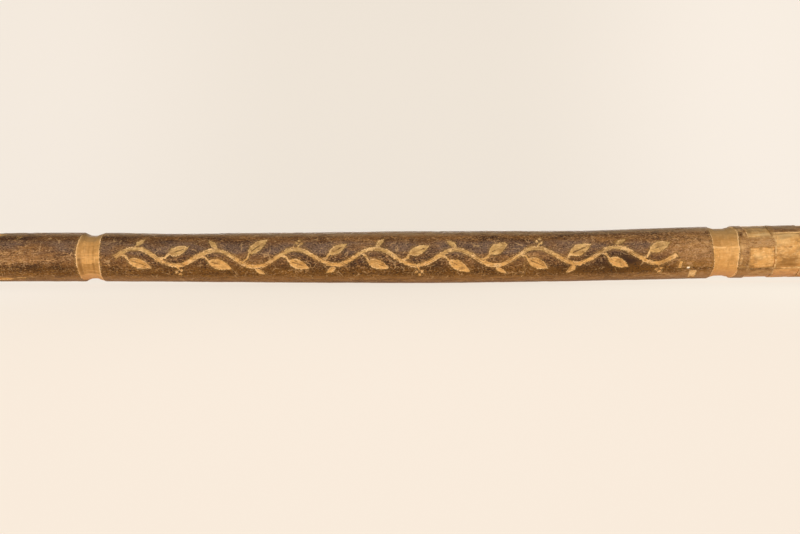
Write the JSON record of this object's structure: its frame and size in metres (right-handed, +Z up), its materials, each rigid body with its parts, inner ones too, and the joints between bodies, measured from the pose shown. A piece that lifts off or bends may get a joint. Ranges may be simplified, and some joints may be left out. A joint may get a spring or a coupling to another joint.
{
  "type": "walking cane",
  "caption": "Wooden walking cane bent to a crook from one stick, bark left on, with carved rings, leaf and chequer carving down to the wood and a steel-shod tip.",
  "frame": {"origin": "on the surface the cane lies on, under the middle of its box", "axes": "+X along the stick from the tip to the crook, +Z up from the surface the cane lies on, and the crook lies flat in XY, turned towards -Y, the side that the carving faces"},
  "size_m": [0.9, 0.1242, 0.0279],
  "materials": {
    "bare_wood": "knife-cut bare wood, golden with age, satin with handling",
    "bark": "thin dark brown bark left on the stick, oiled and worn to a low sheen, scuffed along the grain",
    "ferrule_steel": "drawn steel, dulled and scuffed at the tip",
    "pin_brass": "round-headed brass pins, dulled"
  },
  "bodies": {
    "root": {"wood_core": "bare_wood", "bark_tip_sleeve": "bark", "bark_leaf_band": "bark", "bark_carved_panel": "bark", "bark_chequer_band": "bark", "bark_crook_sleeve": "bark", "ferrule_cup": "ferrule_steel", "wear_stud": "ferrule_steel", "ferrule_pin_front": "pin_brass", "ferrule_pin_back": "pin_brass"}
  },
  "joints": []
}
